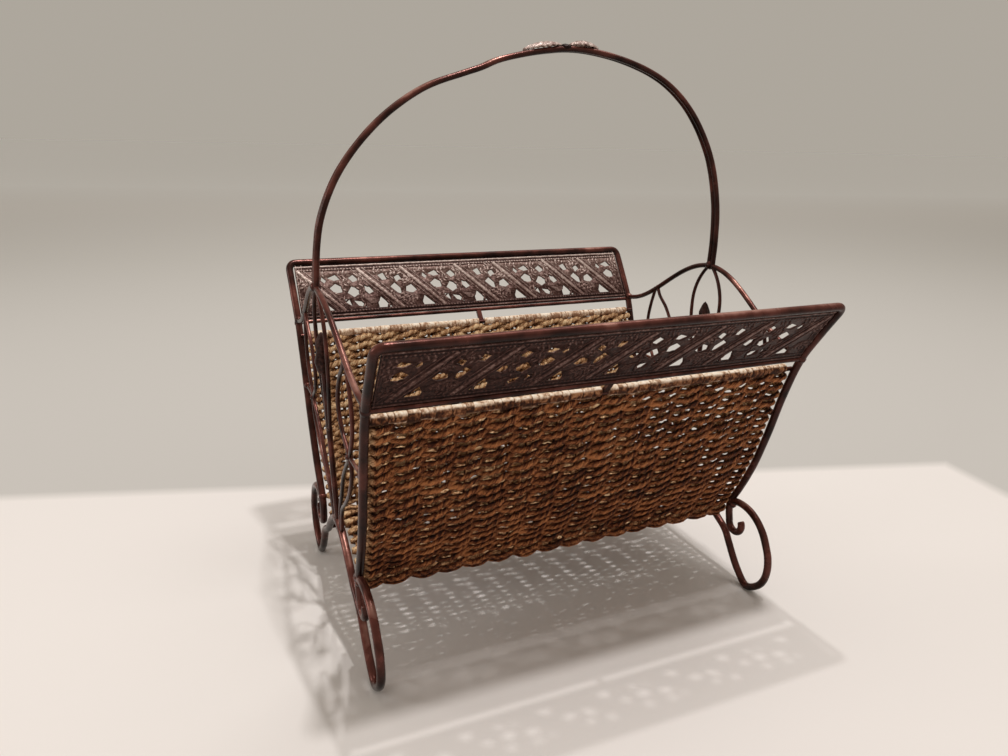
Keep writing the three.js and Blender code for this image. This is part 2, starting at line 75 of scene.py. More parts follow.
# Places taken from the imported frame
hoop_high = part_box("rear_hoop")[1]
rail_height = hoop_high.z - main_rod / 2
rail_half_depth = hoop_high.y - main_rod / 2
body_height = rail_height - foot_height
arch_top = arch_base + arch_rise
peak_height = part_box("right_ogee_rail")[1].z - rail_rod / 2
ogee_height = peak_height - ogee_rise
handle_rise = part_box("handle_rear_rod")[1].z - rail_rod / 2 - peak_height
band_rod_low, band_rod_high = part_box("rear_band_rod")
band_rod_height = (band_rod_low.z + band_rod_high.z) / 2
bar_low, bar_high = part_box("rear_top_bar")
top_bar_height = (bar_low.z + bar_high.z) / 2
top_bar_half_depth = (bar_low.y + bar_high.y) / 2
mat_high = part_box("woven_body")[1]

# Weld beads: how far out of their joint and above it they sit, and their radius
post_weld = (0.001, 0.003, 0.0044)
band_rod_weld = (0, 0, 0.0042)
foot_weld = (0.0035, -0.0005, 0.0042)
arch_weld = (0, 0, 0.0036)
ogee_weld = (-0.003, 0, 0.0041)
peak_weld = (0.001, 0.0008, 0.0047)
waist_weld = (0, 0, 0.0034)
arch_weld_half_depth = 0.009
heart_weld_inset = 0.001
heart_weld_radius = 0.0026
wire_weld_radius = 0.0028
link_weld_radius = 0.0033

# Shapes of the lines, as shares of the sizes above
profile_shares = [
    (0.086, 0.1), (0.223, 0.241), (0.391, 0.367), (0.595, 0.497), (0.759, 0.638), (0.882, 0.814), (1, 1),
]
loop_shares = [
    (0.16, 1.06), (0.34, 1.065), (0.5, 1.035), (0.66, 0.965), (0.8, 0.855),
    (0.9, 0.72), (0.975, 0.58), (1, 0.42), (0.96, 0.25), (0.85, 0.115),
]
loop_bottom_share = 0.6
inner_shares = [(0.37, 0.135), (0.22, 0.28), (0.09, 0.43), (-0.045, 0.575)]
foot_start_shares = (0.32, 0.25)
arch_shares = [0.62, 0.48, 0.33, 0.16]
handle_shares = [
    (-0.988, 0.17), (-0.965, 0.295), (-0.885, 0.477), (-0.722, 0.674), (-0.53, 0.812), (-0.359, 0.877),
    (-0.278, 0.905), (-0.202, 0.938), (0.03, 0.99), (0.2, 1), (0.45, 0.958), (0.641, 0.881),
    (0.793, 0.756), (0.924, 0.554), (0.99, 0.325), (1.004, 0.135),
]
heart_shares = [(0.1, 0), (0.42, 0.055), (0.77, 0.15), (0.975, 0.26), (1, 0.4), (0.84, 0.61), (0.51, 0.82)]
outer_wire_shares = [(0.632, 0.785), (0.662, 0.715), (0.678, 0.64), (0.655, 0.555), (0.6, 0.485)]
outer_lower_shares = [(0.575, 0.385), (0.49, 0.285), (0.34, 0.19), (0.2, 0.115)]
inner_wire_shares = [(0.555, 0.79), (0.46, 0.735), (0.385, 0.665), (0.355, 0.59), (0.41, 0.51)]
inner_lower_shares = [(0.44, 0.375), (0.33, 0.3), (0.235, 0.2), (0.14, 0.105)]
apex_share = 0.602
waist_share = 0.545
waist_height_share = 0.44
wire_foot_share = 0.1
bud_shares = [
    (0, 0), (0.55, 0), (0.8, 0.13), (1, 0.27), (0.9, 0.4),
    (0.72, 0.54), (0.86, 0.67), (0.62, 0.81), (0.3, 0.94), (0, 1),
]

sides = [("front", -1), ("rear", 1)]
ends = [("left", -1), ("right", 1)]
chance = random.Random(7)


# Lines

def clamped(value, low=0, high=1):
    return min(high, max(low, value))


def catmull(points, per_span):
    """A smooth curve through the points, with per_span steps from each to the next."""
    places = [Vector(point) for point in points]
    padded = [places[0] * 2 - places[1], *places, places[-1] * 2 - places[-2]]
    line = []
    for i in range(len(places) - 1):
        p0, p1, p2, p3 = padded[i:i + 4]
        d0, d1, d2 = ((b - a).length ** 0.5 for a, b in ((p0, p1), (p1, p2), (p2, p3)))
        t1 = ((p1 - p0) / d0 - (p2 - p0) / (d0 + d1) + (p2 - p1) / d1) * d1
        t2 = ((p2 - p1) / d1 - (p3 - p1) / (d1 + d2) + (p3 - p2) / d2) * d1
        bend = p2 * 3 - p1 * 3 - t1 * 2 - t2
        twist = (p1 - p2) * 2 + t1 + t2
        for k in range(per_span):
            t = k / per_span
            line.append(p1 + t1 * t + bend * t ** 2 + twist * t ** 3)
    return line + [places[-1]]


def straight(start, last, steps):
    return [start.lerp(last, k / steps) for k in range(steps + 1)]


def distances(line):
    """Length along the line up to each of its points."""
    run = [0.0]
    for a, b in zip(line, line[1:]):
        run.append(run[-1] + (b - a).length)
    return run


def spaced(line, step):
    """Points along the line about one step apart, its ends included."""
    run = distances(line)
    count = max(1, round(run[-1] / step))
    points, i = [], 0
    for k in range(count + 1):
        goal = run[-1] * k / count
        while i < len(line) - 2 and run[i + 1] < goal:
            i += 1
        points.append(line[i].lerp(line[i + 1], (goal - run[i]) / (run[i + 1] - run[i])))
    return points


def line_frame(line, run, distance):
    """The point at a distance along an evenly spaced line, and the direction out of the basket there."""
    i = clamped(int(distance / run[-1] * (len(line) - 1)), 0, len(line) - 2)
    along = (line[i + 1] - line[i]).normalized()
    return line[i] + along * (distance - run[i]), Vector((0, along.z, -along.y))


def raised_cosine(share):
    return math.cos(math.pi / 2 * min(1, abs(share))) ** 2


def flare_place(up, out):
    depth = junction_half_depth + out * (rail_half_depth - junction_half_depth)
    return Vector((0, depth, foot_height + up * body_height))


profile_step = 0.0005
profile = spaced(catmull([
    (0, junction_half_depth + curl_set_out - curl_radius, foot_height - curl_drop),
    (0, junction_half_depth, foot_height - curl_drop / 2),
    (0, junction_half_depth, foot_height),
    *(flare_place(up, out) for up, out in profile_shares),
], 24), profile_step)
profile_run = distances(profile)
profile_length = profile_run[-1]


def profile_index(height):
    """The first point of the long side's profile that is so high."""
    return next(i for i, p in enumerate(profile) if p.z >= height)


def half_depth_at(height):
    above = profile_index(height)
    low, high = profile[above - 1], profile[above]
    return low.y + (high.y - low.y) * (height - low.z) / (high.z - low.z)


def profile_distance(height):
    return profile_run[profile_index(height)]


ogee_half_width = half_depth_at(ogee_height)


def ogee_height_at(y):
    return ogee_height + ogee_rise * raised_cosine(y / ogee_half_width)


def arch_height_at(y):
    return arch_base + arch_rise * raised_cosine(y / arch_half_width)


def end_half_length(y, z):
    """The ends lean outward, and the handle spreads their middle a little."""
    lift = clamped((z - arch_top) / (peak_height - arch_top))
    return floor_half_length + end_lean * z + handle_spread * lift * raised_cosine(y / ogee_half_width)


def end_point(end, y, z):
    return Vector((end * end_half_length(y, z), y, z))


def frame_point(end, side, out, up):
    return end_point(end, side * out * ogee_half_width, arch_top + up * (peak_height - arch_top))


# Meshes and pieces

def as_mesh(curve):
    """The mesh of a curve, which is then thrown away."""
    holder = bpy.data.objects.new(curve.name, curve)
    bpy.context.scene.collection.objects.link(holder)
    graph = bpy.context.evaluated_depsgraph_get()
    mesh = bpy.data.meshes.new_from_object(holder.evaluated_get(graph))
    bpy.data.objects.remove(holder)
    return mesh


def tube(lines, diameter, fineness=4, radii=None, closed=False, unevenness=0.0):
    """Round rods along the lines, as one mesh. radii has each line's shares of the diameter."""
    waves_per_metre = 90
    curve = bpy.data.curves.new("tube", "CURVE")
    curve.dimensions = "3D"
    curve.bevel_depth = diameter / 2
    curve.bevel_resolution = fineness
    curve.use_fill_caps = True
    for row, line in enumerate(lines):
        spline = curve.splines.new("POLY")
        spline.points.add(len(line) - 1)
        spline.use_cyclic_u = closed
        for i, (point, place) in enumerate(zip(spline.points, line)):
            point.co = (*place, 1)
            share = 1 + unevenness * noise.noise(place * waves_per_metre)
            point.radius = share * (radii[row][i] if radii else 1)
    return as_mesh(curve)


def tapered(line, *tip_shares):
    """Shares of the diameter along a rod whose tips thin out."""
    radii = [1.0] * len(line)
    for i, share in enumerate(tip_shares):
        radii[i] = radii[-1 - i] = share
    return radii


def blobs(places, roughness=0.18):
    """Lumpy weld beads at (place, radius) pairs, as one mesh."""
    whole = bmesh.new()
    for place, radius in places:
        made = bmesh.ops.create_icosphere(whole, subdivisions=2, radius=radius)
        for vert in made["verts"]:
            direction = vert.co.normalized()
            vert.co = place + vert.co * (1 + roughness * noise.noise(direction * 2.2 + place * 400))
    return to_mesh(whole)


def weld(end, side, y, z, bead):
    """Place and radius of a weld bead at a joint of one end."""
    out, up, radius = bead
    return end_point(end, side * (y + out), z + up), radius


def to_mesh(whole):
    mesh = bpy.data.meshes.new("part")
    whole.to_mesh(mesh)
    whole.free()
    return mesh


def write_value(mesh, name, value_of):
    """Writes a value for each point of the mesh, which its material reads."""
    layer = mesh.attributes.new(name, "FLOAT", "POINT")
    for vert in mesh.vertices:
        layer.data[vert.index].value = value_of(vert.co)


def write_grain(mesh, grain_of):
    """Writes the place that the fibres of a strand read at each point of the mesh."""
    layer = mesh.attributes.new("grain", "FLOAT_VECTOR", "POINT")
    for vert in mesh.vertices:
        layer.data[vert.index].vector = grain_of(vert.co)


def piece(name, meshes, finish, slot, *nodes):
    """One finished piece from several meshes, which stands for the named nodes."""
    whole = bmesh.new()
    for mesh in meshes:
        whole.from_mesh(mesh)
        bpy.data.meshes.remove(mesh)
    for face in whole.faces:
        face.smooth = True
    mesh = to_mesh(whole)
    mesh.materials.clear()
    mesh.materials.append(finish)
    made = bpy.data.objects.new(name, mesh)
    bpy.context.scene.collection.objects.link(made)
    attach(made, "root")
    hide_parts(*nodes)


# Materials

class Value:
    """A number in a material's graph that Python can reckon with."""

    def __init__(self, finish, socket):
        self.finish = finish
        self.socket = socket

    def reckon(self, operation, *others):
        return self.finish.add("ShaderNodeMath", {"operation": operation}, dict(enumerate((self, *others))))

    def __add__(self, other):
        return self.reckon("ADD", other)

    def __mul__(self, other):
        return self.reckon("MULTIPLY", other)

    def __sub__(self, other):
        return self.reckon("SUBTRACT", other)


class Finish:
    """A node material. Its add method adds a node and gives back one of its outputs."""

    def __init__(self, name):
        self.material = bpy.data.materials.new(name)
        self.material.use_nodes = True
        self.tree = self.material.node_tree
        self.shader = self.tree.nodes["Principled BSDF"]

    def link(self, value, socket):
        if isinstance(value, Value):
            self.tree.links.new(value.socket, socket)
        else:
            socket.default_value = value

    def add(self, kind, settings, inputs, output=0):
        node = self.tree.nodes.new(kind)
        for key, setting in settings.items():
            if key == "stops":
                ramp = node.color_ramp.elements
                while len(ramp) < len(setting):
                    ramp.new(1)
                for stop, (position, color) in zip(ramp, setting):
                    stop.position = position
                    stop.color = (*color, 1)
            else:
                setattr(node, key, setting)
        for key, value in inputs.items():
            self.link(value, node.inputs[key])
        return Value(self, node.outputs[output])

    def surface(self, **sockets):
        for key, value in sockets.items():
            self.link(value, self.shader.inputs[key.replace("_", " ")])


def place_on_object(finish):
    return finish.add("ShaderNodeTexCoord", {}, {}, "Object")


def reach_along(finish, vector, way):
    """How far a vector reaches in a direction."""
    return finish.add("ShaderNodeVectorMath", {"operation": "DOT_PRODUCT"}, {0: vector, 1: way}, "Value")


def speckle(finish, where, scale, detail=3.0, roughness=0.55):
    settings = {"Vector": where, "Scale": scale, "Detail": detail, "Roughness": roughness}
    return finish.add("ShaderNodeTexNoise", {}, settings, 0)


def shades(finish, value, *stops):
    return finish.add("ShaderNodeValToRGB", {"stops": stops}, {"Fac": value})


def bumped(finish, height, distance):
    return finish.add("ShaderNodeBump", {}, {"Height": height, "Distance": distance, "Strength": 1.0})


def blended(finish, share, low, high):
    """The low colour where the share is 0, and the high one where it is 1."""
    return finish.add("ShaderNodeMix", {"data_type": "RGBA"}, {0: share, 6: low, 7: high}, 2)


def written(finish, name, output="Fac"):
    """What a piece's mesh has written under that name."""
    return finish.add("ShaderNodeAttribute", {"attribute_name": name}, {}, output)


def iron_finish():
    """Satin bronze-brown enamel on bent rod, reddish in patches of wear, with painted light on its upward
    faces and painted shade beneath.
    """
    finish = Finish("iron_enamel")
    where = place_on_object(finish)
    patches = speckle(finish, where, 38)
    grit = speckle(finish, where, 900, 2)
    # Painted light and shade: faces turned up are painted paler and faces turned down are painted darker.
    upward = reach_along(finish, finish.add("ShaderNodeNewGeometry", {}, {}, "Normal"), (0, 0, 1))
    top_light_tone = patches + upward * 0.25
    color = shades(finish, top_light_tone, (0.28, (0.0095, 0.0035, 0.0026)), (0.5, (0.048, 0.0155, 0.0115)),
                   (0.72, (0.15, 0.046, 0.034)), (0.92, (0.4, 0.2, 0.16)))
    finish.surface(Base_Color=color, Metallic=0.45, Roughness=patches * 0.25 + 0.13,
                   Specular_IOR_Level=0.25, Normal=bumped(finish, grit + patches * 2, 0.00008))
    return finish.material


def cast_finish():
    """The same enamel over cast relief: near black in the hollows, as painted shade, and pale on what
    stands proud, partly from wear and partly as painted highlight.
    """
    finish = Finish("cast_enamel")
    where = place_on_object(finish)
    relief = written(finish, "relief")
    patches = speckle(finish, where, 60)
    chasing = speckle(finish, where, 430, 3, 0.6)
    # The written relief also carries painted shade on the bands' outer faces and painted light towards
    # their tops.
    height = relief + chasing * 0.85 + patches * 0.3 - 0.58
    color = shades(finish, height, (0.1, (0.014, 0.004, 0.003)), (0.4, (0.065, 0.027, 0.021)),
                   (0.65, (0.24, 0.15, 0.13)), (1, (0.64, 0.52, 0.47)))
    finish.surface(Base_Color=color, Metallic=0.4, Roughness=patches * 0.25 + 0.28,
                   Specular_IOR_Level=0.2, Normal=bumped(finish, chasing, 0.0006))
    return finish.material


def grass_finish(name, lit_tones, shaded_tones):
    """Seagrass: fibres that follow each strand, pale inside the basket as painted light and dark on its
    outside as painted shade.

    The two tone arguments hold the tones of the dark, middle and light fibres, first for the painted light
    inside and then for the painted shade outside.
    """
    finish = Finish(name)
    fibres = speckle(finish, written(finish, "grain", "Vector"), 1, 4, 0.7)
    stains = speckle(finish, place_on_object(finish), 45, 3)
    mix = fibres * 2.2 + stains * 0.3 + written(finish, "shade") - 0.78
    stops = (0.25, 0.5, 0.8)
    # The blend paints the outside of the grass dark and the inside pale: painted shade and painted light.
    color = blended(finish, written(finish, "stain"), shades(finish, mix, *zip(stops, lit_tones)),
                    shades(finish, mix, *zip(stops, shaded_tones)))
    finish.surface(Base_Color=color, Roughness=0.65, Specular_IOR_Level=0.15,
                   Normal=bumped(finish, fibres, 0.001))
    return finish.material


iron = iron_finish()
cast = cast_finish()
golden_tones = ((0.06, 0.021, 0.009), (0.46, 0.215, 0.09), (0.95, 0.7, 0.42))
brown_tones = ((0.009, 0.0019, 0.0008), (0.106, 0.0217, 0.0062), (0.54, 0.21, 0.078))
cream_tones = ((0.38, 0.21, 0.125), (0.82, 0.61, 0.44), (0.98, 0.86, 0.72))
umber_tones = ((0.03, 0.009, 0.004), (0.13, 0.042, 0.016), (0.42, 0.2, 0.095))
weave_grass = grass_finish("twined_grass", golden_tones, brown_tones)
wrap_grass = grass_finish("wrapped_grass", cream_tones, umber_tones)


# Hoops: curl, post, rounded corner and top rail

curl_turn = math.pi * 1.2
curl_closing_share = 0.16
curl_tip_shares = (0.72, 0.94)


def curl_line(end, side):
    points = []
    steps = 40
    for i in range(steps, 0, -1):
        turn = i / steps * curl_turn
        radius = curl_radius * (1 - curl_closing_share * i / steps)
        y = junction_half_depth + curl_set_out - radius * math.cos(turn)
        points.append(end_point(end, side * y, foot_height - curl_drop - radius * math.sin(turn)))
    return points


def hoop_half(end, side):
    post_length = profile_length - corner_radius
    post = [p for p, run in zip(profile[::8], profile_run[::8]) if run < post_length]
    line = curl_line(end, side) + [end_point(end, side * p.y, p.z) for p in post]
    corner = end_point(end, side * rail_half_depth, rail_height)
    rail_start = corner - Vector((end * corner_radius, 0, 0))
    low = line[-1]
    steps = 12
    for i in range(1, steps + 1):
        t = i / steps
        line.append(low * (1 - t) ** 2 + corner * (2 * t * (1 - t)) + rail_start * t ** 2)
    return line


def make_hoop(side_name, side):
    left, right = hoop_half(-1, side), hoop_half(1, side)
    line = left + straight(left[-1], right[-1], 24)[1:-1] + right[::-1]
    radii = tapered(line, *curl_tip_shares)
    rods = tube([line], main_rod, 6, [radii], unevenness=0.03)
    welds = []
    for end in (-1, 1):
        welds.append(weld(end, side, junction_half_depth, foot_height, post_weld))
        welds.append(weld(end, side, half_depth_at(band_rod_height), band_rod_height, band_rod_weld))
    piece(f"{side_name}_hoop_rod", [rods, blobs(welds)], iron, "wrought_iron", f"{side_name}_hoop")


# Foot scrolls: front loop, low arch and rear loop of one end

foot_tip_share = 0.8


def foot_half(end, side):
    bottom = main_rod / 2 - foot_flat_depth

    def at(out, up):
        y = side * (junction_half_depth + out * foot_reach)
        return end_point(end, y, bottom + up * (foot_height - bottom))

    out, up = (share * main_rod for share in foot_start_shares)
    start = end_point(end, side * (junction_half_depth + out), foot_height + up)
    loop = [at(*place) for place in (*loop_shares, (loop_bottom_share, 0), *inner_shares)]
    depths = [share * arch_half_width for share in arch_shares]
    return [start, *loop, *(end_point(end, side * y, arch_height_at(y)) for y in depths)]


def make_foot_scroll(end_name, end):
    places = [*foot_half(end, -1), end_point(end, 0, arch_top), *foot_half(end, 1)[::-1]]
    line = catmull(places, 8)
    rods = tube([line], main_rod, 6, [tapered(line, foot_tip_share)], unevenness=0.03)
    for vert in rods.vertices:
        vert.co.z = max(vert.co.z, 0)
    welds = []
    for side in (-1, 1):
        welds.append(weld(end, side, junction_half_depth, foot_height, foot_weld))
        arch_height = arch_height_at(arch_weld_half_depth)
        welds.append(weld(end, side, arch_weld_half_depth, arch_height, arch_weld))
    piece(f"{end_name}_foot_rod", [rods, blobs(welds)], iron, "wrought_iron", f"{end_name}_foot_scroll")


def make_ogee_rail(end_name, end):
    steps = 64
    depths = [ogee_half_width * (2 * i / steps - 1) for i in range(steps + 1)]
    line = [end_point(end, y, ogee_height_at(y)) for y in depths]
    rods = tube([line], rail_rod, 5, unevenness=0.04)
    foot = ogee_height_at(ogee_half_width)
    welds = [weld(end, side, ogee_half_width, foot, ogee_weld) for side in (-1, 1)]
    welds.append(weld(end, 1, 0, peak_height, peak_weld))
    piece(f"{end_name}_ogee_rod", [rods, blobs(welds)], iron, "wrought_iron", f"{end_name}_ogee_rail")


# Scroll wires, links and stems of the ends

touch = (wire + weld_gap) / 2
waist_height = arch_top + waist_height_share * (peak_height - arch_top)


def make_heart_wire(end_name, end, side_name, side):
    contact = (stem_rod + wire) / 2 + weld_gap
    points = [end_point(end, side * max(touch, out * heart_half_width), peak_height - down * heart_drop)
              for out, down in heart_shares]
    points.append(end_point(end, side * contact, peak_height - heart_drop))
    rods = tube([catmull(points, 6)], wire, 3, unevenness=0.05)
    bead = blobs([(points[-1] - Vector((0, side * heart_weld_inset, 0)), heart_weld_radius)])
    name = f"{end_name}_{side_name}_heart"
    piece(f"{name}_scroll", [rods, bead], iron, "wrought_iron", f"{name}_wire")


def side_wire_line(end, side, outer):
    upper = outer_wire_shares if outer else inner_wire_shares
    lower = outer_lower_shares if outer else inner_lower_shares
    shift = touch if outer else -touch
    apex = apex_share * ogee_half_width + shift
    foot = wire_foot_share * ogee_half_width + shift
    waist = waist_share * ogee_half_width + shift
    return [
        end_point(end, side * apex, ogee_height_at(apex)),
        *(frame_point(end, side, *place) for place in upper),
        end_point(end, side * waist, waist_height),
        *(frame_point(end, side, *place) for place in lower),
        end_point(end, side * foot, arch_height_at(foot)),
    ]


def make_side_wires(end_name, end, side_name, side):
    for wire_name, outer in (("outer", True), ("inner", False)):
        places = side_wire_line(end, side, outer)
        rods = tube([catmull(places, 6)], wire, 3, unevenness=0.05)
        welds = [(places[0], wire_weld_radius), (places[-1], wire_weld_radius)]
        if outer:
            welds.append(weld(end, side, waist_share * ogee_half_width, waist_height, waist_weld))
        name = f"{end_name}_{side_name}_{wire_name}"
        piece(f"{name}_scroll", [rods, blobs(welds)], iron, "wrought_iron", f"{name}_wire")


def make_link(end_name, end, side_name, side):
    inner = end_point(end, side * (waist_share * ogee_half_width + touch), waist_height)
    outer = end_point(end, side * half_depth_at(waist_height), waist_height)
    rods = tube([straight(inner, outer, 6)], link_rod, 3, unevenness=0.1)
    bead = blobs([(inner.lerp(outer, 0.86), link_weld_radius)], 0.25)
    name = f"{end_name}_{side_name}_link"
    piece(f"{name}_bar", [rods, bead], iron, "wrought_iron", name)


def make_stem(end_name, end):
    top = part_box(f"{end_name}_stem")[1].z
    line = straight(end_point(end, 0, arch_top), end_point(end, 0, top), 10)
    rods = tube([line], stem_rod, 5, unevenness=0.05)
    piece(f"{end_name}_stem_rod", [rods], iron, "wrought_iron", f"{end_name}_stem")


def make_bud(end_name):
    """A cast bud: turned, then fluted into six petals that twist a little on their way up."""
    petals, twist = 6, 2.5
    low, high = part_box(f"{end_name}_bud")
    middle, height = (low + high) / 2, high.z - low.z
    radius = (high.y - low.y) / 2
    line = catmull([(out * radius, 0, up * height) for out, up in bud_shares], 4)
    whole = bmesh.new()
    verts = [whole.verts.new(point) for point in line]
    edges = [whole.edges.new(pair) for pair in zip(verts, verts[1:])]
    bmesh.ops.spin(whole, geom=verts + edges, cent=(0, 0, 0), axis=(0, 0, 1), angle=2 * math.pi,
                   steps=36, use_merge=True)
    bmesh.ops.remove_doubles(whole, verts=whole.verts, dist=0.00002)
    bmesh.ops.recalc_face_normals(whole, faces=whole.faces)
    for vert in whole.verts:
        angle = math.atan2(vert.co.y, vert.co.x) * petals + vert.co.z / height * twist
        flute = 0.93 + 0.1 * abs(math.sin(angle / 2))
        vert.co = Vector((vert.co.x * flute + middle.x, vert.co.y * flute, vert.co.z + low.z))
    mesh = to_mesh(whole)
    write_value(mesh, "relief", lambda co: 0.2)
    piece(f"{end_name}_bud_cast", [mesh], cast, "cast_trim", f"{end_name}_bud")


# Handle: two rods side by side, with a bead and two leaves

handle_step = 0.005
bead_spread_share = 1.9
bead_drop_share = 1.5
leaf_crown = 0.0036
leaf_vein_depth = 0.0009
leaf_midrib_depth = 0.0005
leaf_gap = 0.0006
leaf_thickness = 0.0011
leaf_reach_shares = (1.08, 0.86)
handle_half_span = end_half_length(0, peak_height)
handle_line = catmull([
    (-handle_half_span, 0, peak_height),
    *((along * handle_half_span, 0, peak_height + up * handle_rise) for along, up in handle_shares),
    (handle_half_span, 0, peak_height),
], 10)


def handle_height_at(x):
    top = [p for p in handle_line if p.z > peak_height + handle_rise / 2]
    after = next(i for i, p in enumerate(top) if p.x >= x)
    low, high = top[after - 1], top[after]
    return low.z + (high.z - low.z) * (x - low.x) / (high.x - low.x)


def make_handle():
    offset = (rail_rod + weld_gap) / 2
    for side_name, side in sides:
        line = [p + Vector((0, side * offset, 0)) for p in spaced(handle_line, handle_step)]
        rods = tube([line], rail_rod, 5, unevenness=0.04)
        piece(f"handle_{side_name}_bow", [rods], iron, "wrought_iron", f"handle_{side_name}_rod")
    low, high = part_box("handle_bead")
    middle, radius = (low + high) / 2, (high.z - low.z) / 2
    bead = blobs([(Vector(), radius)], 0.12)
    spread = Matrix.Diagonal((bead_spread_share, bead_spread_share, 1, 1))
    bead.transform(Matrix.Translation((middle.x, 0, middle.z - radius * bead_drop_share)) @ spread)
    write_value(bead, "relief", lambda co: 0.0)
    piece("handle_bead_cast", [bead], cast, "cast_trim", "handle_bead")
    for (end_name, end), reach_share in zip(ends, leaf_reach_shares):
        make_handle_leaf(end_name, end, reach_share)


def make_handle_leaf(end_name, end, reach_share):
    """A cast leaf with lobed edges, a sunk midrib and slanting veins, which lies over both rods."""
    low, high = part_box(f"handle_{end_name}_leaf")
    length, half_width = (high.x - low.x) * reach_share, (high.y - low.y) / 2
    start = low.x if end > 0 else high.x
    whole = bmesh.new()
    bmesh.ops.create_grid(whole, x_segments=40, y_segments=14, size=0.5)
    for vert in whole.verts:
        share, across = vert.co.x + 0.5, vert.co.y * 2
        swell = math.sin(math.pi * (0.015 + 0.97 * share) ** 0.8) ** 0.7
        edge = 1 - 0.2 * abs(math.sin(math.pi * 4 * share))
        vein = abs(math.sin(math.pi * (share * 7 - abs(across) * 1.6)))
        crown = leaf_crown * math.sin(math.pi * share) ** 0.7 * (1 - 0.9 * across ** 2)
        midrib = leaf_midrib_depth if abs(across) < 0.12 else 0
        x = start + end * share * length
        base = handle_height_at(x) + rail_rod / 2 + leaf_gap
        z = base + crown + leaf_vein_depth * (vein - 1) - midrib
        vert.co = Vector((x, across * half_width * swell * edge, z))
    bmesh.ops.solidify(whole, geom=whole.faces, thickness=-leaf_thickness)
    bmesh.ops.recalc_face_normals(whole, faces=whole.faces)
    mesh = to_mesh(whole)
    # The leaves are painted pale all over, with a random tone: a painted highlight for their lit upper
    # faces.
    write_value(mesh, "relief", lambda co: 0.85 + 0.25 * noise.noise(co * 300))
    piece(f"handle_{end_name}_leaf_cast", [mesh], cast, "cast_trim", f"handle_{end_name}_leaf")


# Long rods

long_rods = [
    ("front_band_rod", band_rod), ("front_top_bar", bar_rod), ("rear_band_rod", band_rod),
    ("rear_top_bar", bar_rod), ("front_bottom_bar", bar_rod), ("rear_bottom_bar", bar_rod),
    ("ridge_bar", bar_rod),
]


def make_long_rods():
    for node, diameter in long_rods:
        low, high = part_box(node)
        middle = (low + high) / 2
        left, right = (Vector((way * high.x, middle.y, middle.z)) for way in (-1, 1))
        rods = tube([straight(left, right, 80)], diameter, 4, unevenness=0.06)
        piece(f"{node}_iron", [rods], iron, "wrought_iron", node)


# Pierced cast bands. They are drawn flat, X along, Y up the flare and Z out, and then bent

band_low = profile_distance(band_rod_height) + band_rod / 2 + weld_gap
band_high = profile_length - main_rod / 2 - weld_gap
band_height = band_high - band_low
band_half_length = end_half_length(rail_half_depth, band_rod_height) - main_rod / 2 - weld_gap
blade_count = 7
blade_pitch = 2 * band_half_length / blade_count
pair_shift_share = 0.07
blade_lean_share = 0.38
blade_reach_share = 0.53
blade_width = 0.0054
blade_edge_width = 0.0018
blade_edge_share = 0.12
border = 0.0075
border_step = 0.0004
open_height = band_height - 2 * border
plate = 0.0012
proud_height = 0.0006
lobe = 0.0028
feather = 0.0019
ring_radius = 0.0014
wing_bundles = [
    # Root in shares as below, angle in radians, and length, count and bow of the feathers
    ((0.08, -0.32), 0.05, 0.022, 5, 0.003), ((-0.06, 0.28), math.pi, 0.018, 4, -0.0025),
]
ring_shares = [(-0.44, 0.26), (0.08, -0.36), (0.44, 0.42), (0.4, 0.04)]
hole_shares = [
    # Corners along and up from the middle of a pair's first blade, in shares of the blades' pitch and of
    # the open height. The pair's second blade stands at 0.86 and the next pair's first one at 2
    [(-0.2, -0.5), (0.04, -0.5), (0.06, -0.42), (0.0, -0.25)],
    [(0.13, -0.1), (0.24, -0.18), (0.36, -0.12), (0.34, 0.0), (0.23, 0.06)],
    [(0.45, -0.2), (0.54, -0.14), (0.66, 0.02), (0.56, 0.12), (0.46, -0.02)],
    [(0.4, 0.2), (0.52, 0.14), (0.56, 0.26), (0.46, 0.34)],
    [(0.7, 0.22), (0.8, 0.2), (0.88, 0.34), (0.76, 0.4)],
    [(0.68, -0.5), (0.94, -0.5), (0.95, -0.38), (0.88, -0.22)],
    [(1.18, -0.48), (1.34, -0.42), (1.42, -0.28), (1.26, -0.32)],
    [(1.0, -0.08), (1.1, -0.14), (1.18, -0.02), (1.16, 0.1), (1.07, 0.04)],
    [(1.27, -0.12), (1.4, -0.2), (1.51, -0.08), (1.42, 0.08), (1.3, 0.02)],
    [(1.46, -0.42), (1.56, -0.34), (1.62, -0.24), (1.5, -0.24)],
    [(1.61, -0.06), (1.75, -0.08), (1.84, 0.06), (1.72, 0.17), (1.6, 0.08)],
    [(1.26, 0.24), (1.38, 0.18), (1.46, 0.3), (1.36, 0.38)],
    [(1.58, 0.28), (1.74, 0.24), (1.86, 0.32), (1.7, 0.4)],
    [(1.92, 0.19), (1.98, 0.26), (1.96, 0.36), (1.88, 0.26)],
]
leaf_shares = [
    # Start, tip and width, in shares along and up from the middle of a blade
    ((-0.2, -0.06), (-0.46, 0.08), 0.26), ((0.16, 0.42), (-0.12, 0.45), 0.22),
    ((-0.28, -0.32), (-0.52, -0.22), 0.26), ((-0.32, 0.38), (-0.56, 0.42), 0.26),
    ((0.16, 0.14), (0.36, 0.2), 0.22), ((0.36, -0.36), (0.54, -0.2), 0.26),
    ((-0.12, -0.46), (0.12, -0.44), 0.18), ((0.3, 0.08), (0.5, 0.3), 0.22),
    ((-0.34, 0.14), (-0.54, 0.24), 0.22), ((0.12, -0.3), (0.36, -0.36), 0.22),
    ((0.44, 0.42), (0.62, 0.36), 0.2),
]
edge_lines = [
    # Inset, width and notch, as a share of the width, of the lines along both edges
    (0.0021, 0.0027, 1), (0.0058, 0.0026, 0.7),
]
